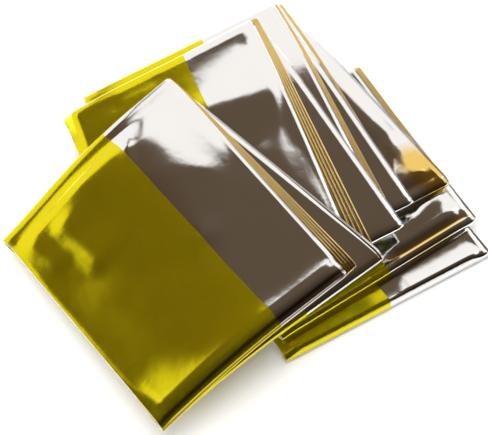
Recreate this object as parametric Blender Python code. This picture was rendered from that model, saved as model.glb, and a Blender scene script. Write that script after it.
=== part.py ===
"""Emergency foil blanket, taken from its pack and fanned into a loose pile.

The blanket is one sheet of metallised film. It is folded back and forth along
its length into a strip of twenty plies, and the strip is then folded back and
forth across its length into thirteen panels. Here the twenty plies are one
thin bundle, and the bundle runs through every turn of the pile as one body.

Sizes in the tables are millimetres, and the model itself is in metres.
+Z is up, +Y is the far side and +X is the right-hand side.
"""

import math
from typing import NamedTuple

import bmesh
import bpy

MM = 0.001

# The strip
STRIP_WIDTH = 109.4
BUNDLE = 1.2
FLAP_SHARE = 0.6
FLAP_STEP = 0.25

# Rise from one panel to the next: across a puffed turn, and between turns
NEAR_TURN_RISE = 3.6
FAR_TURN_RISE = 2.6
LAYER_RISE = 1.8
TOP_TURN_LEVEL = 12
LEVELS = 14

# The pile is taller at its near side than at its far side
FAR_DIRECTION = (-0.56, 0.83)
NEAR_REACH = -60.0
FAR_REACH = 90.0

# Middle of the pile's footprint
CENTRE_X = 1.57
CENTRE_Y = 9.17

# The upper groups sag where nothing lies under them
SAG_WIDTH = 80.0
MIDDLE_LEVEL = 5
TOP_LEVEL = 10
FLOOR_GAP = 0.8
GROUP_GAP = 0.2

# Stations along each panel and round each turn
LONG_STEPS = 12
SHORT_STEPS = 3
TURN_STEPS = 6


class Fold(NamedTuple):
    """One fold line of the strip, by the place of its right-hand end."""

    name: str
    right_x: float
    right_y: float
    heading: float
    side: str
    next_level: int
    steps: int


# Heading is the turn of the fold line from +X in degrees, left end to right end.
# Next level is the level in the pile of the panel that leaves this fold.
FOLDS = (
    Fold("tucked end", 35.8, -17.7, 39.2, "end", 12, SHORT_STEPS),
    Fold("near 1", 50.2, -35.4, 39.2, "near", 13, LONG_STEPS),
    Fold("far 1", -36.6, 67.1, 46.1, "far", 11, LONG_STEPS),
    Fold("near 2", 62.8, -29.3, 37.0, "near", 10, LONG_STEPS),
    Fold("far 2", 5.5, 107.4, 32.2, "far", 9, LONG_STEPS),
    Fold("near 3", 73.0, -11.6, 28.5, "near", 8, LONG_STEPS),
    Fold("far 3", 15.8, 119.6, 30.4, "far", 7, LONG_STEPS),
    Fold("near 4", 79.0, 3.1, 28.0, "near", 6, LONG_STEPS),
    Fold("far 4", 18.5, 122.8, 30.3, "far", 5, LONG_STEPS),
    Fold("near 5", 97.4, 15.6, 30.0, "near", 4, SHORT_STEPS),
    Fold("far 5", 56.8, 83.7, 30.3, "far", 3, SHORT_STEPS),
    Fold("near 6", 109.8, -1.2, 32.7, "near", 2, SHORT_STEPS),
    Fold("far 6", 52.8, 75.6, 29.6, "far", 1, SHORT_STEPS),
    Fold("near 7", 115.5, -16.0, 28.7, "near", 0, SHORT_STEPS),
    Fold("loose end", 67.9, 69.1, 31.9, "end", 0, 0),
)


class Corner(NamedTuple):
    """One corner of the ground that a group of panels gives the next group."""

    x: float
    y: float


# The bottom group carries the middle group, and the middle group the top one.
BOTTOM_GROUND = (
    Corner(16.0, -63.0),
    Corner(26.0, -68.0),
    Corner(114.0, 1.0),
    Corner(60.0, 90.0),
    Corner(-40.0, 32.0),
)
MIDDLE_GROUND = (
    Corner(-24.0, -65.0),
    Corner(80.0, 4.0),
    Corner(100.0, 18.0),
    Corner(20.0, 122.0),
    Corner(6.0, 110.0),
    Corner(-88.0, 52.0),
)


def distance_outside(x, y, ground):
    """Distance from a point to a ground outline, and nought inside it."""
    inside = True
    nearest = math.inf
    for start, end in zip(ground, ground[1:] + ground[:1]):
        edge_x = end.x - start.x
        edge_y = end.y - start.y
        to_x = x - start.x
        to_y = y - start.y
        if edge_x * to_y - edge_y * to_x < 0.0:
            inside = False
        along = (to_x * edge_x + to_y * edge_y) / (edge_x ** 2 + edge_y ** 2)
        along = min(max(along, 0.0), 1.0)
        gap = math.hypot(to_x - along * edge_x, to_y - along * edge_y)
        nearest = min(nearest, gap)
    return 0.0 if inside else nearest


def level_heights():
    """Height of each panel's middle at the near side and at the far side."""
    near = [BUNDLE / 2.0]
    far = [BUNDLE / 2.0]
    for level in range(1, LEVELS):
        near_turn = level % 2 == 1
        far_turn = level % 2 == 0 and level < TOP_TURN_LEVEL
        near.append(near[-1] + (NEAR_TURN_RISE if near_turn else LAYER_RISE))
        far.append(far[-1] + (FAR_TURN_RISE if far_turn else LAYER_RISE))
    return near, far


NEAR_HEIGHTS, FAR_HEIGHTS = level_heights()


def stacked_height(x, y, level):
    """Height of a panel's middle where the whole pile lies under it."""
    along = FAR_DIRECTION[0] * x + FAR_DIRECTION[1] * y
    share = (along - NEAR_REACH) / (FAR_REACH - NEAR_REACH)
    share = min(max(share, 0.0), 1.0)
    return NEAR_HEIGHTS[level] * (1.0 - share) + FAR_HEIGHTS[level] * share


def sag(x, y, level):
    """How far a panel at this level has sunk at a place."""
    total = 0.0
    floor = stacked_height(x, y, 0) + FLOOR_GAP
    groups = (
        (MIDDLE_LEVEL, floor, BOTTOM_GROUND),
        (TOP_LEVEL, stacked_height(x, y, MIDDLE_LEVEL) + GROUP_GAP, MIDDLE_GROUND),
    )
    for first_level, ground_height, ground in groups:
        if level >= first_level:
            reach = min(distance_outside(x, y, ground) / SAG_WIDTH, 1.0)
            depth = stacked_height(x, y, first_level) - ground_height
            total += depth * 0.5 * (1.0 - math.cos(math.pi * reach))
    return total


def panel_height(x, y, level):
    """Height of a panel's middle above the ground."""
    return stacked_height(x, y, level) - sag(x, y, level)


def bundle_section():
    """Outline across the bundle as (across, out) pairs, with its gold share.

    Across runs from the left long edge. The folded long edges of the plies
    stand back from each other a little at the right.
    """
    half = BUNDLE / 2.0
    low = half - FLAP_STEP
    flap = FLAP_SHARE * STRIP_WIDTH
    flap_row = [0.9 + (flap - 0.9) * i / 6.0 for i in range(7)]
    open_start = flap + 0.4
    open_row = [open_start + (STRIP_WIDTH - 1.0 - open_start) * i / 4.0 for i in range(5)]

    outline = [(across, half, True) for across in flap_row]
    outline += [(across, low, False) for across in open_row]
    outline += [
        (STRIP_WIDTH - 0.25, 0.5 * half, False),
        (STRIP_WIDTH, 0.1 * half, False),
        (STRIP_WIDTH - 1.2, -0.2 * half, False),
    ]
    outline += [(across - 1.0, -low, False) for across in reversed(open_row[1:])]
    outline += [(open_start, -low, True)]
    outline += [(across, -half, True) for across in reversed(flap_row)]
    outline += [(0.0, 0.0, True)]
    return outline


def outward(fold):
    """Unit direction in plan in which a turn bulges away from its panels."""
    turn = math.radians(fold.heading)
    if fold.side == "near":
        return math.sin(turn), -math.cos(turn)
    if fold.side == "far":
        return -math.sin(turn), math.cos(turn)
    return 0.0, 0.0


def fold_point(fold, across, inset):
    """Point in plan on a fold line, set back from it by an inset."""
    turn = math.radians(fold.heading)
    out_x, out_y = outward(fold)
    left = STRIP_WIDTH - across
    return (
        fold.right_x - left * math.cos(turn) - inset * out_x,
        fold.right_y - left * math.sin(turn) - inset * out_y,
    )


def turn_line(index, across):
    """Middle of a turn in plan, with its middle height and its radius."""
    fold = FOLDS[index]
    if fold.side == "end":
        return fold_point(fold, across, 0.0), 0.0, 0.0
    levels = (FOLDS[index - 1].next_level, fold.next_level)
    edge = fold_point(fold, across, 0.0)
    heights = [panel_height(*edge, level) for level in levels]
    radius = abs(heights[0] - heights[1]) / 2.0
    centre = fold_point(fold, across, radius + BUNDLE / 2.0)
    heights = [panel_height(*centre, level) for level in levels]
    return centre, sum(heights) / 2.0, abs(heights[0] - heights[1]) / 2.0


def to_metres(x, y, z):
    """Point in metres, with the origin under the middle of the pile."""
    return (x - CENTRE_X) * MM, (y - CENTRE_Y) * MM, z * MM


def panel_rings(section, index, face_up):
    """Rings of points along one flat panel, from its fold to the next."""
    level = FOLDS[index].next_level
    steps = FOLDS[index].steps
    rings = []
    for step in range(steps + 1):
        share = step / steps
        ring = []
        for across, out, _ in section:
            start = turn_line(index, across)[0]
            end = turn_line(index + 1, across)[0]
            x = start[0] + (end[0] - start[0]) * share
            y = start[1] + (end[1] - start[1]) * share
            ring.append(to_metres(x, y, panel_height(x, y, level) + face_up * out))
        rings.append(ring)
    return rings


def turn_rings(section, index, face_up):
    """Rings of points round one turn, without its first and last ring."""
    fold = FOLDS[index]
    downward = 1.0 if FOLDS[index - 1].next_level > fold.next_level else -1.0
    out_x, out_y = outward(fold)
    rings = []
    for step in range(1, TURN_STEPS):
        angle = downward * math.pi * (0.5 - step / TURN_STEPS)
        ring = []
        for across, out, _ in section:
            centre, height, radius = turn_line(index, across)
            reach = radius + downward * face_up * out
            x = centre[0] + out_x * reach * math.cos(angle)
            y = centre[1] + out_y * reach * math.cos(angle)
            ring.append(to_metres(x, y, height + reach * math.sin(angle)))
        rings.append(ring)
    return rings


def film_material(name, colour):
    """Metallised film of one colour."""
    material = bpy.data.materials.new(name)
    material.use_nodes = True
    shader = material.node_tree.nodes["Principled BSDF"]
    shader.inputs["Base Color"].default_value = (*colour, 1.0)
    shader.inputs["Metallic"].default_value = 1.0
    shader.inputs["Roughness"].default_value = 0.15
    return material


def build_blanket(collection):
    """The whole blanket as one closed body."""
    section = bundle_section()
    rings = []
    face_up = -1.0
    for index in range(len(FOLDS) - 1):
        rings += panel_rings(section, index, face_up)
        if FOLDS[index + 1].side != "end":
            rings += turn_rings(section, index + 1, face_up)
            face_up = -face_up

    body = bmesh.new()
    loops = [[body.verts.new(point) for point in ring] for ring in rings]
    count = len(section)
    for ring, following in zip(loops, loops[1:]):
        for i in range(count):
            j = (i + 1) % count
            face = body.faces.new((ring[i], ring[j], following[j], following[i]))
            face.material_index = 1 if section[i][2] and section[j][2] else 0
    body.faces.new(reversed(loops[0]))
    body.faces.new(loops[-1])
    bmesh.ops.recalc_face_normals(body, faces=body.faces)
    bmesh.ops.triangulate(body, faces=body.faces)

    mesh = bpy.data.meshes.new("foil_blanket")
    body.to_mesh(mesh)
    body.free()
    mesh.materials.append(film_material("silver_film", (0.80, 0.79, 0.77)))
    mesh.materials.append(film_material("gold_film", (0.72, 0.68, 0.05)))
    mesh.shade_smooth()
    mesh.set_sharp_from_angle(angle=math.radians(40.0))
    blanket = bpy.data.objects.new("foil_blanket", mesh)
    collection.objects.link(blanket)
    return blanket


def main():
    for old in list(bpy.data.objects):
        bpy.data.objects.remove(old, do_unlink=True)
    collection = bpy.data.collections.new("emergency_foil_blanket")
    bpy.context.scene.collection.children.link(collection)
    build_blanket(collection)


main()
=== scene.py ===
import math
from typing import NamedTuple

import bpy
import numpy as np
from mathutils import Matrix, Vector


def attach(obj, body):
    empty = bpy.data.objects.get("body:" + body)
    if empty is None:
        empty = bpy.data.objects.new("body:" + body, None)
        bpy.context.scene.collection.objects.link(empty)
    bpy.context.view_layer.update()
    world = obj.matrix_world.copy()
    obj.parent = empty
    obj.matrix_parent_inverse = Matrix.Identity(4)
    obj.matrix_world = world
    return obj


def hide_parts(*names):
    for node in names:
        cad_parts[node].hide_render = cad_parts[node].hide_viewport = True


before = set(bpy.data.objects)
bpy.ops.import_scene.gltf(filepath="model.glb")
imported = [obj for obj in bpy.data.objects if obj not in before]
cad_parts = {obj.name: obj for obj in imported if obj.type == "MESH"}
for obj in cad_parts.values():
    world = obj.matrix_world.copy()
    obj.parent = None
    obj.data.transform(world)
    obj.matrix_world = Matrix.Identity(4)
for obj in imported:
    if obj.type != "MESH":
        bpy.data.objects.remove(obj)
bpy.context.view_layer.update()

# One sheet of metallised film, silver on one face and gold on the other. It is
# folded back and forth along its length into a strip of twenty plies, and the
# strip is folded back and forth across its length into a fanned pile.
# The film's tables are in millimetres, in the same places as the solid's own.

MM = 0.001

# The strip and its plies
STRIP_WIDTH = 109.4
BUNDLE = 1.2
PLIES = 20
FLAP = 0.6 * STRIP_WIDTH
OUTER_OFFSET = 0.60
NEXT_OFFSET = 0.44
INNER_OFFSET = 0.26

# Cells across the sheet, finer where the film shows, and the places of columns
# as shares of a ply's reach
FLAP_CELLS = {0: 26, 19: 18}
OPEN_CELLS = {1: 22, 18: 15}
COVERED_CELLS = 7
COVERED_START = 0.02
OPEN_START = 0.56
LEFT_FOLD = -0.002
INNER_SHARES = (0.01, 0.10, 0.22, 0.42, 0.64, 1.0)

# Colours of the film, linear, and of the light and shade painted on it
SILVER = (0.90, 0.90, 0.895)
# Painted reflection: the gold that silver film mirrors from its gold neighbours, painted into its
# colour
PAINTED_GOLD_REFLECTION = (0.86, 0.60, 0.16)
# Painted shade: the dark where plies meet at their lips and in the hollows of the pleats
PAINTED_SEAM_SHADE = (0.14, 0.08, 0.03)
GOLD = (0.79, 0.75, 0.01)
LACQUER = (0.95, 0.40, 0.0)

# Share of the gold film's grains that show its lacquer, where grains start and
# end to show, and how much more they change the colour than the shine
GOLD_SPECKLE = 0.17
SPECKLE_START = 0.25
SPECKLE_END = 0.85
SPECKLE_COLOUR = 2.0

# Roughness of the two films, and the range round it that the ripples give
SILVER_ROUGHNESS = 0.09
GOLD_ROUGHNESS = 0.16
LEAST_ROUGHNESS = 0.7
MOST_ROUGHNESS = 1.4

# Fine grain and soft ripples of the film: noise scale and detail, and the
# strength and the depth in metres of the bump
GRAIN_SCALE = 2400.0
GRAIN_DETAIL = 2.0
GRAIN_STRENGTH = 0.15
GRAIN_DEPTH = 0.0001
RIPPLE_SCALE = 70.0
RIPPLE_DETAIL = 3.0
RIPPLE_STRENGTH = 0.25
RIPPLE_DEPTH = 0.0005

# Floor: half its width in metres, its grey and its roughness
FLOOR_HALF = 4.0
FLOOR_GREY = 0.92
FLOOR_ROUGHNESS = 0.9

# Surroundings: browner to the left, and dimmer behind the camera
LEFT_WALL = (0.090, 0.046, 0.016, 1.0)
RIGHT_WALL = (0.112, 0.079, 0.051, 1.0)
WALL_BLEND = (-0.5, -0.15)
DEPTH_BLEND = (-0.55, 0.45)
NEAR_STRENGTH = 0.2
FAR_STRENGTH = 1.0

# Camera: degrees, metres and millimetres
CAMERA_ELEVATION = 65.0
CAMERA_DISTANCE = 0.60
CAMERA_LENS = 94.3
CAMERA_SENSOR = 36.0
TARGET_HEIGHT = 0.01

# Rise from one panel to the next: across a puffed turn, and between turns
NEAR_TURN_RISE = 3.6
FAR_TURN_RISE = 2.6
LAYER_RISE = 1.8
TOP_TURN_LEVEL = 12
LEVELS = 14

# The pile is taller at its near side than at its far side
FAR_DIRECTION = (-0.56, 0.83)
NEAR_REACH = -60.0
FAR_REACH = 90.0

# Middle of the pile's footprint
CENTRE_X = 1.57
CENTRE_Y = 9.17

# The upper groups sag where nothing lies under them
SAG_WIDTH = 80.0
MIDDLE_LEVEL = 5
TOP_LEVEL = 10
FLOOR_GAP = 0.8
GROUP_GAP = 0.2


class Fold(NamedTuple):
    """One fold line of the strip, by the place of its right-hand end.

    Heading is its turn from +X in degrees, and next_level is the level in the
    pile of the panel that leaves it. nose is how much further than a round turn
    it bulges, and spread is how far the plies fan at their right edges there.
    The outer film stands lift over the turn and settles over reach behind it,
    and both shrink to right_share at the right-hand end. flute is the height
    of the fine pleats that run along the turn.
    turn_steps and steps are the stations round the turn and along the panel
    that leaves it. flap is the width of the gold flap, and gather is how
    strongly that panel's stations crowd towards the next fold.
    """

    name: str
    right_x: float
    right_y: float
    heading: float
    side: str
    next_level: int
    nose: float
    spread: float
    lift: float
    right_share: float
    reach: float
    flute: float
    turn_steps: int
    steps: int
    flap: float = FLAP
    gather: float = 1.0


FOLDS = (
    Fold("tucked end", 35.8, -17.7, 39.2, "end", 12, 0.0, 2.0, 0.0, 1.0, 1.0, 0.0, 0, 4),
    Fold("near 1", 50.2, -35.4, 39.2, "near", 13, 5.0, 6.0, 3.6, 0.42, 22.0, 0.15, 22, 46),
    Fold("far 1", -36.6, 67.1, 46.1, "far", 11, 4.0, 0.8, 0.0, 1.0, 1.0, 0.0, 14, 14),
    Fold("near 2", 62.8, -29.3, 37.0, "near", 10, 3.0, 9.0, 0.4, 1.0, 5.0, 0.05, 12, 42),
    Fold("far 2", 5.5, 107.4, 32.2, "far", 9, 2.0, 3.2, 7.0, 0.3, 50.0, 0.0, 14, 12),
    Fold("near 3", 73.0, -11.6, 28.5, "near", 8, 2.4, 3.6, 0.5, 1.0, 4.0, 0.0, 12, 12),
    Fold("far 3", 15.8, 119.6, 30.4, "far", 7, 1.5, 1.4, 0.5, 1.0, 6.0, 0.0, 8, 12),
    Fold("near 4", 79.0, 3.1, 28.0, "near", 6, 2.4, 3.2, 0.5, 1.0, 4.0, 0.0, 12, 12),
    Fold("far 4", 18.5, 122.8, 30.3, "far", 5, 1.5, 1.6, 0.5, 1.0, 6.0, 0.0, 8, 28, FLAP, 1.4),
    Fold("near 5", 97.4, 15.6, 30.0, "near", 4, 2.4, 3.0, 0.8, 1.0, 5.0, 0.04, 12, 8, 65.0),
    Fold("far 5", 56.8, 83.7, 30.3, "far", 3, 1.0, 3.0, 0.0, 1.0, 1.0, 0.0, 8, 26, 62.0, 1.7),
    Fold("near 6", 109.8, -1.2, 32.7, "near", 2, 1.0, 3.0, 1.0, 1.0, 4.0, 0.0, 12, 8, 59.0),
    Fold("far 6", 52.8, 75.6, 29.6, "far", 1, 1.0, 2.0, 0.0, 1.0, 1.0, 0.0, 8, 20, 57.0, 1.7),
    Fold("near 7", 115.5, -16.0, 28.7, "near", 0, 0.6, 3.0, 2.4, 1.0, 14.0, 0.06, 16, 6, 55.0),
    Fold("loose end", 67.9, 69.1, 31.9, "end", 0, 0.0, 2.0, 0.0, 1.0, 1.0, 0.0, 0, 0, 55.0),
)

# How far each right-hand ply fold stands back, as a share of the spread
EDGE_SHARES = (1.0, 0.97, 0.74, 0.71, 0.50, 0.47, 0.25, 0.22, 0.0)

# Painted reflection: how strongly each of those folds shows the gold that the film
# mirrors there, painted into its colour
EDGE_PAINTED_REFLECTIONS = (0.0, 0.3, 1.0, 0.3, 0.95, 0.3, 1.0, 0.3, 0.85)

# Half waves of the fine pleats round a turn
PLEATS = 9

# How dark the painted shade in the pleats' hollows is, for each millimetre of their height
PLEAT_SHADE = 3.5

# How quickly the lift at a fold settles: more is sharper at the fold
LIFT_CURVE = 1.9

# Rounding of a turn in section: one is an ellipse, and less is squarer
BLUNT = 0.7

# Roundness of a crease's ridge, its least width, and the part of its run over
# which each end dies out: one in so many
CREASE_SOFTNESS = 0.8
CREASE_LEAST_WIDTH = 0.1
CREASE_END_PARTS = 6.0

# How far from the turns, the left-hand folds and the right-hand folds the outer
# film has its full relief
TURN_FADE = 6.0
LEFT_FADE = 5.0
RIGHT_FADE = 6.0

# The ply under a gold flap lies deeper, and more so under a crease
COVERED_SINK = 0.12
CREASE_SINK_SHARE = 0.4
SINK_FADE = 4.0
SINK_EDGE = 2.0

# How the slight waves differ from panel to panel, in degrees and in radians
WAVE_TURN_STEP = 37.0
WAVE_PHASE_STEP = 2.0


class LipPlace(NamedTuple):
    """One place on the lip of a ply that stands out beyond the one above it.

    step is its place across the lip, rise is its height as a share of the lip's
    width, and shade is how much painted shade it gets where the plies meet.
    """

    step: float
    rise: float
    shade: float


LIP = (
    LipPlace(0.06, -0.06, 1.0),
    LipPlace(0.16, 0.14, 0.6),
    LipPlace(0.30, 0.17, 0.0),
    LipPlace(0.85, 0.0, 0.0),
    LipPlace(1.0, -0.04, 0.3),
)


class Corner(NamedTuple):
    """One corner of the ground that a group of panels gives the next group."""

    x: float
    y: float


# The bottom group carries the middle group, and the middle group the top one.
BOTTOM_GROUND = (
    Corner(16.0, -63.0),
    Corner(26.0, -68.0),
    Corner(114.0, 1.0),
    Corner(60.0, 90.0),
    Corner(-40.0, 32.0),
)
MIDDLE_GROUND = (
    Corner(-24.0, -65.0),
    Corner(80.0, 4.0),
    Corner(100.0, 18.0),
    Corner(20.0, 122.0),
    Corner(6.0, 110.0),
    Corner(-88.0, 52.0),
)


class Swell(NamedTuple):
    """A soft rise of the outer film: its place and reach on one panel.

    Across runs from the left edge and along from the near fold, both in
    millimetres.
    """

    panel: int
    across: float
    along: float
    wide: float
    deep: float
    turn: float
    rise: float


class Crease(NamedTuple):
    """A ridge in the outer film between two places on one panel.

    left and right are the widths of its two slopes, seen from the first place.
    taper is the share of its height and width that it has lost at the second.
    """

    panel: int
    across_1: float
    along_1: float
    across_2: float
    along_2: float
    rise: float
    left: float
    right: float
    taper: float


class Wave(NamedTuple):
    """One train of slight waves in the outer film, in degrees and millimetres."""

    turn: float
    length: float
    rise: float


class PaintedReflection(NamedTuple):
    """A place on one panel where the silver film gets a painted reflection of its gold neighbours.
    """

    panel: int
    across: float
    along: float
    wide: float
    deep: float
    strength: float


SWELLS = (
    Swell(1, 68.0, 47.0, 8.0, 6.0, -20.0, 0.8),
)

CREASES = (
    Crease(1, 10.0, 137.0, 100.0, 60.0, 2.8, 32.0, 46.0, 0.0),
    Crease(1, 96.0, 102.0, 0.0, 112.0, 1.4, 34.0, 9.0, 0.7),
    Crease(1, 23.0, 106.0, 26.0, 68.0, 1.2, 14.0, 7.0, 0.0),
    Crease(1, 7.0, 110.0, 12.0, 84.0, 0.8, 5.0, 3.5, 0.0),
    Crease(1, 71.0, 107.0, 62.0, 96.0, 0.8, 3.0, 4.0, 0.5),
    Crease(3, 104.0, 99.0, 58.0, 114.0, 2.1, 45.0, 26.0, 0.8),
    Crease(3, 78.0, 84.0, 106.0, 6.0, 1.3, 14.0, 34.0, 0.2),
    Crease(3, 106.0, 146.0, 96.0, 136.0, 0.8, 3.0, 3.0, 0.3),
    Crease(3, 100.0, 12.0, 107.0, 2.0, 0.9, 2.5, 3.5, 0.2),
    Crease(3, 92.0, 8.0, 105.0, 9.0, 0.6, 2.5, 2.5, 0.2),
    Crease(1, 102.0, 13.0, 108.0, 2.0, 1.1, 2.5, 3.0, 0.2),
    Crease(1, 99.0, 7.0, 108.0, 6.0, 0.7, 2.0, 2.0, 0.2),
    Crease(8, 98.0, 122.0, 100.0, 24.0, 1.5, 11.0, 9.0, 0.0),
    Crease(8, 107.0, 30.0, 84.0, 3.0, 2.4, 11.0, 7.0, 0.3),
    Crease(8, 107.0, 14.0, 92.0, 4.0, 0.9, 4.0, 4.0, 0.3),
    Crease(8, 84.0, 4.5, 109.0, 4.5, 1.7, 14.0, 2.5, 0.0),
    Crease(10, 108.0, 20.0, 74.0, 10.0, 0.6, 3.0, 1.8, 0.2),
    Crease(10, 62.0, 4.5, 109.0, 4.5, 2.6, 20.0, 2.5, 0.0),
    Crease(10, 98.0, 22.0, 82.0, 9.0, 0.5, 3.0, 1.6, 0.4),
    Crease(10, 90.0, 14.0, 70.0, 12.0, 0.5, 2.5, 1.5, 0.3),
    Crease(10, 104.0, 17.0, 92.0, 12.0, 0.4, 2.0, 1.6, 0.3),
)

WAVES = (
    Wave(15.0, 23.0, 0.025),
    Wave(80.0, 37.0, 0.05),
    Wave(140.0, 13.0, 0.008),
)

# Places on silver film with painted reflection of their gold neighbours
PAINTED_REFLECTIONS = (
    PaintedReflection(8, 103.0, 9.0, 13.0, 17.0, 1.0),
    PaintedReflection(10, 82.0, 1.6, 36.0, 2.2, 0.95),
)


class Softbox(NamedTuple):
    """One area light, in metres and watts, and whether the film mirrors it."""

    name: str
    place: tuple
    aim: tuple
    width: float
    height: float
    watts: float
    mirrored: bool


SOFTBOXES = (
    Softbox("fill_light", (-0.1, 0.5, 2.2), (0.0, 0.0, 0.0), 2.6, 2.2, 72.0, False),
    Softbox("front_fill", (-0.9, -1.2, 0.9), (0.0, 0.0, 0.0), 1.4, 1.0, 20.0, False),
    Softbox("far_softbox", (0.35, 1.3, 0.81), (0.35, 0.0, 0.81), 1.8, 1.55, 8.0, True),
    Softbox("right_softbox", (1.3, 0.75, 0.62), (0.0, 0.0, 0.62), 1.0, 1.1, 3.3, True),
    Softbox("left_softbox", (-1.31, 0.70, 0.74), (0.0, 0.0, 0.74), 2.2, 1.38, 8.9, True),
)


def distance_outside(x, y, ground):
    """Distance from each point to a ground outline, and nought inside it."""
    inside = np.ones(np.shape(x), dtype=bool)
    nearest = np.full(np.shape(x), np.inf)
    for start, end in zip(ground, ground[1:] + ground[:1]):
        edge_x = end.x - start.x
        edge_y = end.y - start.y
        to_x = x - start.x
        to_y = y - start.y
        inside &= edge_x * to_y - edge_y * to_x >= 0.0
        along = (to_x * edge_x + to_y * edge_y) / (edge_x ** 2 + edge_y ** 2)
        along = np.clip(along, 0.0, 1.0)
        gap = np.hypot(to_x - along * edge_x, to_y - along * edge_y)
        nearest = np.minimum(nearest, gap)
    return np.where(inside, 0.0, nearest)


def level_heights():
    """Height of each panel's middle at the near side and at the far side."""
    near = [BUNDLE / 2.0]
    far = [BUNDLE / 2.0]
    for level in range(1, LEVELS):
        near_turn = level % 2 == 1
        far_turn = level % 2 == 0 and level < TOP_TURN_LEVEL
        near.append(near[-1] + (NEAR_TURN_RISE if near_turn else LAYER_RISE))
        far.append(far[-1] + (FAR_TURN_RISE if far_turn else LAYER_RISE))
    return near, far


NEAR_HEIGHTS, FAR_HEIGHTS = level_heights()


def stacked_height(x, y, level):
    """Height of a panel's middle where the whole pile lies under it."""
    along = FAR_DIRECTION[0] * x + FAR_DIRECTION[1] * y
    share = np.clip((along - NEAR_REACH) / (FAR_REACH - NEAR_REACH), 0.0, 1.0)
    return NEAR_HEIGHTS[level] * (1.0 - share) + FAR_HEIGHTS[level] * share


def panel_height(x, y, level):
    """Height of a panel's middle, sunk where nothing lies under its group."""
    height = stacked_height(x, y, level)
    floor = stacked_height(x, y, 0) + FLOOR_GAP
    groups = (
        (MIDDLE_LEVEL, floor, BOTTOM_GROUND),
        (TOP_LEVEL, stacked_height(x, y, MIDDLE_LEVEL) + GROUP_GAP, MIDDLE_GROUND),
    )
    for first_level, ground_height, ground in groups:
        if level >= first_level:
            reach = np.minimum(distance_outside(x, y, ground) / SAG_WIDTH, 1.0)
            depth = stacked_height(x, y, first_level) - ground_height
            height = height - depth * 0.5 * (1.0 - np.cos(math.pi * reach))
    return height


class Columns(NamedTuple):
    """The columns of the sheet, from one long edge to the other.

    share is the place as a share of the ply's reach and offset the height in the
    bundle. bead, lip and shade are a lip's step, rise and painted shade, nought
    elsewhere.
    """

    ply: np.ndarray
    share: np.ndarray
    offset: np.ndarray
    bead: np.ndarray
    lip: np.ndarray
    shade: np.ndarray


def ply_offset(ply):
    """Height of a ply over the bundle's middle while the top ply is up."""
    outer = {0: OUTER_OFFSET, 1: NEXT_OFFSET}
    if ply in outer:
        return outer[ply]
    if PLIES - 1 - ply in outer:
        return -outer[PLIES - 1 - ply]
    inner_plies = PLIES - 2 * len(outer)
    return INNER_OFFSET * (1.0 - 2.0 * (ply - len(outer)) / (inner_plies - 1))


def ply_shares(ply):
    """Places across one ply, as shares of its reach from the left edge."""
    if ply in FLAP_CELLS:
        cells = FLAP_CELLS[ply]
        return [i / cells for i in range(cells + 1)]
    if ply in OPEN_CELLS:
        cells = OPEN_CELLS[ply]
        covered_width = OPEN_START - COVERED_START
        open_width = 1.0 - OPEN_START
        covered = [COVERED_START + covered_width * i / COVERED_CELLS for i in range(COVERED_CELLS)]
        return covered + [OPEN_START + open_width * i / cells for i in range(cells + 1)]
    return list(INNER_SHARES)


def film_columns():
    """All columns of the sheet, with the folds between its plies."""
    rows = []
    for ply in range(PLIES):
        leftward = ply % 2 == 0
        run = [(ply, share, ply_offset(ply), 0.0, 0.0, 0.0) for share in ply_shares(ply)]
        if ply % 2 == 1 and 1 < ply < PLIES - 1:
            run += [(ply, 1.0, ply_offset(ply), *place) for place in LIP]
        rows += reversed(run) if leftward else run
        if ply < PLIES - 1 and leftward:
            middle = (ply_offset(ply) + ply_offset(ply + 1)) / 2.0
            rows.append((ply, LEFT_FOLD, middle, 0.0, 0.0, 0.0))
    ply, share, offset, bead, lip, shade = np.array(rows).T
    return Columns(ply.astype(int), share, offset, bead, lip, shade)


def across_places(columns, spread, flap_width):
    """Distance of each column from the strip's left edge at one station."""
    pull = np.array(EDGE_SHARES) * spread
    fold = np.clip((columns.ply - 1) // 2, 0, len(pull) - 1)
    right = STRIP_WIDTH - pull[fold]
    above = STRIP_WIDTH - pull[np.maximum(fold - 1, 0)]
    beaded = (columns.ply % 2 == 1) & (columns.ply > 1) & (columns.ply < PLIES - 1)
    reach = np.where(beaded, above, right)
    flap = (columns.ply == 0) | (columns.ply == PLIES - 1)
    reach = np.where(flap, flap_width, reach)
    bead_width = np.where(beaded, right - above, 0.0)
    return columns.share * reach + columns.bead * bead_width, bead_width


def outer_plies(columns, top_side):
    """Where a column belongs to the two plies that show on the upper side."""
    ply = columns.ply if top_side else PLIES - 1 - columns.ply
    return ply <= 1


def ease(value):
    """Smooth ramp from nought to one."""
    value = np.clip(value, 0.0, 1.0)
    return value * value * (3.0 - 2.0 * value)


def side_fade(across, spread):
    """How freely the outer film lifts: not at all at the strip's side folds."""
    return ease(across / LEFT_FADE) * ease((STRIP_WIDTH - spread - across) / RIGHT_FADE)


def swell_rise(panel, across, along):
    """Soft rises of the outer film on one panel."""
    rise = np.zeros(len(across))
    for swell in SWELLS:
        if swell.panel != panel:
            continue
        turn = math.radians(swell.turn)
        dx = across - swell.across
        dy = along - swell.along
        u = (dx * math.cos(turn) + dy * math.sin(turn)) / swell.wide
        v = (dy * math.cos(turn) - dx * math.sin(turn)) / swell.deep
        rise += swell.rise * np.exp(-(u ** 2 + v ** 2))
    return rise


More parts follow.
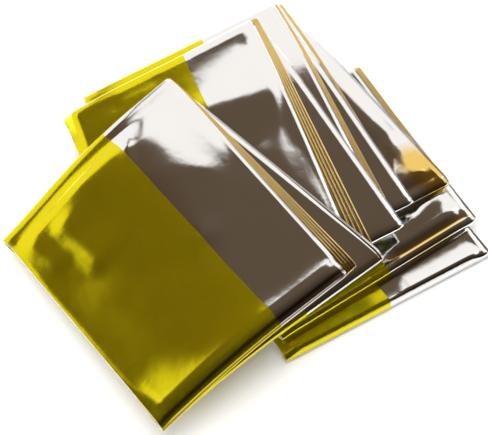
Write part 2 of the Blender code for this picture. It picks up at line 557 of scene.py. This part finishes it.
def crease_rise(panel, across, along):
    """Creases of the outer film on one panel."""
    rise = np.zeros(len(across))
    for crease in CREASES:
        if crease.panel != panel:
            continue
        ex = crease.across_2 - crease.across_1
        ey = crease.along_2 - crease.along_1
        run = math.hypot(ex, ey)
        dx = across - crease.across_1
        dy = along - crease.along_1
        share = (dx * ex + dy * ey) / run ** 2
        side = (dx * ey - dy * ex) / run
        kept = 1.0 - crease.taper * np.clip(share, 0.0, 1.0)
        width = kept * np.where(side < 0.0, crease.left, crease.right)
        width = np.maximum(width, CREASE_LEAST_WIDTH)
        distance = np.hypot(side, CREASE_SOFTNESS) - CREASE_SOFTNESS
        tent = np.maximum(1.0 - distance / width, 0.0)
        start_fade = ease(share * CREASE_END_PARTS)
        end_fade = ease((1.0 - share) * CREASE_END_PARTS)
        rise += crease.rise * kept * tent * start_fade * end_fade
    return rise


def end_share(fold, across):
    """Share of a fold's lift and reach left at each place across the strip."""
    return 1.0 - (1.0 - fold.right_share) * ease(across / STRIP_WIDTH)


def wave_rise(panel, across, along):
    """Slight unevenness all over the outer film."""
    rise = np.zeros(len(across))
    for wave in WAVES:
        turn = math.radians(wave.turn + WAVE_TURN_STEP * panel)
        run = across * math.cos(turn) + along * math.sin(turn)
        phase = 2.0 * math.pi * run / wave.length + wave.turn + WAVE_PHASE_STEP * panel
        rise += wave.rise * np.sin(phase)
    return rise


def fold_lifts(panel, across):
    """Lift and reach of the film at a panel's near fold and at its far fold."""
    near, far = (panel, panel + 1) if panel % 2 == 1 else (panel + 1, panel)
    lifts = []
    for index in (near, far):
        upper = 1 if index == 1 else index - 1
        fold = FOLDS[index]
        kept = end_share(fold, across)
        lifts.append((fold.lift * kept, fold.reach * kept) if upper == panel else (0.0, 1.0))
    return lifts


def film_rise(panel, across, along, length, spread, columns, top_side):
    """Rise of the outer plies that show on one panel."""
    (near_lift, near_reach), (far_lift, far_reach) = fold_lifts(panel, across)
    near_fade = np.clip(1.0 - along / near_reach, 0.0, 1.0) ** LIFT_CURVE
    far_fade = np.clip(1.0 - (length - along) / far_reach, 0.0, 1.0) ** LIFT_CURVE
    relief = swell_rise(panel, across, along) + crease_rise(panel, across, along)
    relief = relief + wave_rise(panel, across, along)
    relief = relief * ease(along / TURN_FADE) * ease((length - along) / TURN_FADE)
    relief = relief + near_lift * near_fade + far_lift * far_fade
    relief = relief * side_fade(across, spread)
    covered = (columns.ply == 1) | (columns.ply == PLIES - 2)
    sink = (COVERED_SINK + CREASE_SINK_SHARE * np.abs(relief)) * ease(across / SINK_FADE)
    sink = sink * ease((FLAP - SINK_EDGE - across) / SINK_FADE)
    rise = relief - np.where(covered, sink, 0.0)
    return np.where(outer_plies(columns, top_side), rise, 0.0)


def outward(fold):
    """Unit direction in plan in which a turn bulges away from its panels."""
    turn = math.radians(fold.heading)
    sign = {"near": 1.0, "far": -1.0, "end": 0.0}[fold.side]
    return sign * math.sin(turn), -sign * math.cos(turn)


def fold_points(fold, across, inset):
    """Points in plan on a fold line, set back from it by an inset."""
    turn = math.radians(fold.heading)
    out_x, out_y = outward(fold)
    left = STRIP_WIDTH - across
    x = fold.right_x - left * math.cos(turn) - inset * out_x
    y = fold.right_y - left * math.sin(turn) - inset * out_y
    return x, y


def turn_line(index, across):
    """Middle of a turn in plan, with its middle height and its radius."""
    fold = FOLDS[index]
    if fold.side == "end":
        return fold_points(fold, across, 0.0), 0.0, 0.0
    levels = (FOLDS[index - 1].next_level, fold.next_level)
    edge = fold_points(fold, across, 0.0)
    radius = abs(panel_height(*edge, levels[0]) - panel_height(*edge, levels[1])) / 2.0
    centre = fold_points(fold, across, radius + BUNDLE / 2.0 + fold.nose)
    heights = [panel_height(*centre, level) for level in levels]
    return centre, (heights[0] + heights[1]) / 2.0, abs(heights[0] - heights[1]) / 2.0


def panel_stations(columns, index, face_up):
    """Rows of points, painted reflection and painted shade along one panel, from its fold to the
    next.
    """
    level = FOLDS[index].next_level
    steps = FOLDS[index].steps
    rows = []
    for step in range(steps + 1):
        share = 1.0 - (1.0 - step / steps) ** FOLDS[index].gather
        spread = FOLDS[index].spread * (1.0 - share) + FOLDS[index + 1].spread * share
        flap_width = FOLDS[index].flap * (1.0 - share) + FOLDS[index + 1].flap * share
        across, bead_width = across_places(columns, spread, flap_width)
        (x_1, y_1), _, _ = turn_line(index, across)
        (x_2, y_2), _, _ = turn_line(index + 1, across)
        x = x_1 + (x_2 - x_1) * share
        y = y_1 + (y_2 - y_1) * share
        length = float(np.mean(np.hypot(x_2 - x_1, y_2 - y_1)))
        near_share = share if index % 2 == 1 else 1.0 - share
        along = near_share * length
        rise = film_rise(index, across, along, length, spread, columns, face_up > 0.0)
        z = panel_height(x, y, level) + rise
        z = z + face_up * columns.offset + columns.lip * bead_width
        tint = painted_reflection_tint(index, across, along, columns)
        rows.append(np.stack([x, y, z, tint, columns.shade], axis=1))
    return rows


def turn_stations(columns, index, face_up, tint):
    """Rows of points, painted reflection and painted shade round one turn, without its first and
    last row.
    """
    fold = FOLDS[index]
    downward = 1.0 if FOLDS[index - 1].next_level > fold.next_level else -1.0
    out_x, out_y = outward(fold)
    across, bead_width = across_places(columns, fold.spread, fold.flap)
    (x_0, y_0), height, radius = turn_line(index, across)
    outer = outer_plies(columns, downward * face_up > 0.0)
    lift = fold.lift * end_share(fold, across) * side_fade(across, fold.spread)
    lift = np.where(outer, lift, 0.0)
    reach = radius + downward * face_up * columns.offset + columns.lip * bead_width
    rows = []
    for step in range(1, fold.turn_steps):
        angle = downward * math.pi * (0.5 - step / fold.turn_steps)
        out = (reach + fold.nose) * math.cos(angle) ** BLUNT
        pleat = math.sin(PLEATS * math.pi * step / fold.turn_steps)
        out = out + np.where(outer, fold.flute * pleat, 0.0) * math.cos(angle)
        # Painted shade in the hollows of the pleats, darker the higher the pleats
        shade = np.where(outer, min(PLEAT_SHADE * fold.flute * (1.0 - pleat), 1.0), 0.0)
        raised = lift * (1.0 - math.cos(angle)) if angle > 0.0 else 0.0
        up = reach * math.sin(angle) + raised
        x = x_0 + out_x * out
        y = y_0 + out_y * out
        shade = np.maximum(shade, columns.shade)
        rows.append(np.stack([x, y, height + up, tint, shade], axis=1))
    return rows


def painted_reflection_tint(panel, across, along, columns):
    """How strongly each point of one panel shows the painted reflection of gold."""
    fold = np.clip((columns.ply - 1) // 2, 0, len(EDGE_PAINTED_REFLECTIONS) - 1)
    tint = np.where(columns.bead > 0.0, np.array(EDGE_PAINTED_REFLECTIONS)[fold], 0.0)
    for place in PAINTED_REFLECTIONS:
        if place.panel == panel:
            u = (across - place.across) / place.wide
            v = (along - place.along) / place.deep
            tint = np.maximum(tint, place.strength * ease(2.0 - 2.0 * np.hypot(u, v)))
    flap = (columns.ply == 0) | (columns.ply == PLIES - 1)
    return np.where(flap, 0.0, tint)


def film_points():
    """The whole sheet as a grid, stations by columns: points, painted reflection and painted
    shade.
    """
    columns = film_columns()
    rows = []
    face_up = -1.0
    for index in range(len(FOLDS) - 1):
        rows += panel_stations(columns, index, face_up)
        if FOLDS[index + 1].side != "end":
            rows += turn_stations(columns, index + 1, face_up, rows[-1][:, 3])
            face_up = -face_up
    grid = np.array(rows)
    points = grid[:, :, :3] - (CENTRE_X, CENTRE_Y, 0.0)
    return points * MM, grid[:, :, 3], grid[:, :, 4], columns


def film_mesh():
    """Mesh of the sheet, with gold outer flaps and silver elsewhere."""
    points, tints, shades, columns = film_points()
    stations, count = points.shape[:2]
    corner = np.arange(stations * count).reshape(stations, count)
    quads = np.stack(
        [corner[:-1, :-1], corner[:-1, 1:], corner[1:, 1:], corner[1:, :-1]],
        axis=-1,
    )
    mesh = bpy.data.meshes.new("film_sheet")
    mesh.from_pydata(points.reshape(-1, 3).tolist(), [], quads.reshape(-1, 4).tolist())
    flap = (columns.ply[:-1] == 0) | (columns.ply[1:] == PLIES - 1)
    gold = np.broadcast_to(flap, (stations - 1, count - 1))
    mesh.polygons.foreach_set("material_index", gold.astype(np.int32).ravel())
    # Painted reflection and painted shade, kept on the points for the materials
    for name, values in (("painted_reflection", tints), ("painted_shade", shades)):
        layer = mesh.attributes.new(name, "FLOAT", "POINT")
        layer.data.foreach_set("value", values.astype(np.float32).ravel())
    mesh.shade_smooth()
    mesh.update()
    return mesh


def film_material(name, colour, roughness, other_colour, speckle):
    """Metallised film: bright metal with fine grain and soft ripples.

    Other colour is the painted reflection of gold on silver film, and the lacquer's
    own tint on gold film, where speckle is the share of grains that show it. Both
    films also get painted shade where plies meet and in their pleats.
    """
    material = bpy.data.materials.new(name)
    material.use_nodes = True
    nodes = material.node_tree.nodes
    links = material.node_tree.links
    shader = nodes["Principled BSDF"]

    place = nodes.new("ShaderNodeTexCoord")
    grain = nodes.new("ShaderNodeTexNoise")
    grain.inputs["Scale"].default_value = GRAIN_SCALE
    grain.inputs["Detail"].default_value = GRAIN_DETAIL
    wave = nodes.new("ShaderNodeTexNoise")
    wave.inputs["Scale"].default_value = RIPPLE_SCALE
    wave.inputs["Detail"].default_value = RIPPLE_DETAIL
    links.new(place.outputs["Object"], grain.inputs["Vector"])
    links.new(place.outputs["Object"], wave.inputs["Vector"])

    rough = nodes.new("ShaderNodeMapRange")
    rough.inputs["To Min"].default_value = roughness * LEAST_ROUGHNESS
    rough.inputs["To Max"].default_value = roughness * MOST_ROUGHNESS
    links.new(wave.outputs["Fac"], rough.inputs["Value"])
    links.new(rough.outputs["Result"], shader.inputs["Roughness"])

    spots = nodes.new("ShaderNodeMapRange")
    spots.inputs["From Min"].default_value = SPECKLE_START
    spots.inputs["From Max"].default_value = SPECKLE_END
    spots.inputs["To Max"].default_value = speckle
    links.new(grain.outputs["Fac"], spots.inputs["Value"])
    metal = nodes.new("ShaderNodeMath")
    metal.operation = "SUBTRACT"
    metal.inputs[0].default_value = 1.0
    links.new(spots.outputs["Result"], metal.inputs[1])
    links.new(metal.outputs["Value"], shader.inputs["Metallic"])

    # Painted reflection of gold, mixed over the colour together with the lacquer's grains on gold
    # film
    tint = nodes.new("ShaderNodeAttribute")
    tint.attribute_name = "painted_reflection"
    both = nodes.new("ShaderNodeMath")
    both.operation = "MAXIMUM"
    links.new(tint.outputs["Fac"], both.inputs[0])
    richer = nodes.new("ShaderNodeMath")
    richer.operation = "MULTIPLY"
    richer.inputs[1].default_value = SPECKLE_COLOUR
    links.new(spots.outputs["Result"], richer.inputs[0])
    links.new(richer.outputs["Value"], both.inputs[1])
    base = nodes.new("ShaderNodeMix")
    base.data_type = "RGBA"
    base.inputs["A"].default_value = (*colour, 1.0)
    base.inputs["B"].default_value = (*other_colour, 1.0)
    links.new(both.outputs["Value"], base.inputs["Factor"])
    # Painted shade where plies meet and in the pleats, mixed over the colour
    shade = nodes.new("ShaderNodeAttribute")
    shade.attribute_name = "painted_shade"
    painted_shade_mix = nodes.new("ShaderNodeMix")
    painted_shade_mix.data_type = "RGBA"
    painted_shade_mix.inputs["B"].default_value = (*PAINTED_SEAM_SHADE, 1.0)
    links.new(shade.outputs["Fac"], painted_shade_mix.inputs["Factor"])
    links.new(base.outputs["Result"], painted_shade_mix.inputs["A"])
    links.new(painted_shade_mix.outputs["Result"], shader.inputs["Base Color"])

    ripple = nodes.new("ShaderNodeBump")
    ripple.inputs["Strength"].default_value = RIPPLE_STRENGTH
    ripple.inputs["Distance"].default_value = RIPPLE_DEPTH
    links.new(wave.outputs["Fac"], ripple.inputs["Height"])
    fine = nodes.new("ShaderNodeBump")
    fine.inputs["Strength"].default_value = GRAIN_STRENGTH
    fine.inputs["Distance"].default_value = GRAIN_DEPTH
    links.new(grain.outputs["Fac"], fine.inputs["Height"])
    links.new(ripple.outputs["Normal"], fine.inputs["Normal"])
    links.new(fine.outputs["Normal"], shader.inputs["Normal"])
    return material


def build_film():
    """The sheet as one piece in place of the solid."""
    mesh = film_mesh()
    silver = film_material("silver_film", SILVER, SILVER_ROUGHNESS, PAINTED_GOLD_REFLECTION, 0.0)
    gold = film_material("gold_film", GOLD, GOLD_ROUGHNESS, LACQUER, GOLD_SPECKLE)
    mesh.materials.append(silver)
    mesh.materials.append(gold)
    film = bpy.data.objects.new("film_sheet", mesh)
    bpy.context.scene.collection.objects.link(film)
    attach(film, "root")
    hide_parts("foil_blanket")
    return film


def build_floor():
    """Plain pale floor."""
    mesh = bpy.data.meshes.new("floor")
    half = FLOOR_HALF
    corners = [(-half, -half, 0.0), (half, -half, 0.0), (half, half, 0.0), (-half, half, 0.0)]
    mesh.from_pydata(corners, [], [(0, 1, 2, 3)])
    floor = bpy.data.objects.new("floor", mesh)
    bpy.context.scene.collection.objects.link(floor)
    material = bpy.data.materials.new("floor")
    material.use_nodes = True
    shader = material.node_tree.nodes["Principled BSDF"]
    shader.inputs["Base Color"].default_value = (FLOOR_GREY, FLOOR_GREY, FLOOR_GREY, 1.0)
    shader.inputs["Roughness"].default_value = FLOOR_ROUGHNESS
    mesh.materials.append(material)


def build_softbox(softbox):
    """Rectangular area light that looks from its place to its aim."""
    light = bpy.data.lights.new(softbox.name, "AREA")
    light.shape = "RECTANGLE"
    light.size = softbox.width
    light.size_y = softbox.height
    light.energy = softbox.watts
    lamp = bpy.data.objects.new(softbox.name, light)
    lamp.location = softbox.place
    look = Vector(softbox.aim) - Vector(softbox.place)
    lamp.rotation_euler = look.to_track_quat("-Z", "Y").to_euler()
    lamp.visible_glossy = softbox.mirrored
    bpy.context.scene.collection.objects.link(lamp)


def build_light():
    """Dim taupe surroundings and soft lights, some of them seen in the film."""
    bpy.context.scene.view_settings.view_transform = "Standard"
    world = bpy.data.worlds.new("studio")
    bpy.context.scene.world = world
    world.use_nodes = True
    nodes = world.node_tree.nodes
    links = world.node_tree.links
    place = nodes.new("ShaderNodeTexCoord")
    parts = nodes.new("ShaderNodeSeparateXYZ")
    links.new(place.outputs["Generated"], parts.inputs["Vector"])
    depth = nodes.new("ShaderNodeMapRange")
    depth.inputs["From Min"].default_value = DEPTH_BLEND[0]
    depth.inputs["From Max"].default_value = DEPTH_BLEND[1]
    depth.inputs["To Min"].default_value = NEAR_STRENGTH
    depth.inputs["To Max"].default_value = FAR_STRENGTH
    links.new(parts.outputs["Y"], depth.inputs["Value"])
    backdrop = nodes["Background"]
    side = nodes.new("ShaderNodeMapRange")
    side.inputs["From Min"].default_value = WALL_BLEND[0]
    side.inputs["From Max"].default_value = WALL_BLEND[1]
    links.new(parts.outputs["X"], side.inputs["Value"])
    wall = nodes.new("ShaderNodeMix")
    wall.data_type = "RGBA"
    wall.inputs["A"].default_value = LEFT_WALL
    wall.inputs["B"].default_value = RIGHT_WALL
    links.new(side.outputs["Result"], wall.inputs["Factor"])
    links.new(wall.outputs["Result"], backdrop.inputs["Color"])
    links.new(depth.outputs["Result"], backdrop.inputs["Strength"])
    for softbox in SOFTBOXES:
        build_softbox(softbox)


def build_camera():
    """Camera at the photograph's angle."""
    elevation = math.radians(CAMERA_ELEVATION)
    target = Vector((-CENTRE_X * MM, -CENTRE_Y * MM, TARGET_HEIGHT))
    camera_data = bpy.data.cameras.new("camera")
    camera_data.sensor_width = CAMERA_SENSOR
    camera_data.lens = CAMERA_LENS
    camera = bpy.data.objects.new("camera", camera_data)
    back = Vector((0.0, -math.cos(elevation), math.sin(elevation)))
    camera.location = target + back * CAMERA_DISTANCE
    camera.rotation_euler = (math.radians(90.0) - elevation, 0.0, 0.0)
    bpy.context.scene.collection.objects.link(camera)
    bpy.context.scene.camera = camera


build_film()
build_floor()
build_light()
build_camera()
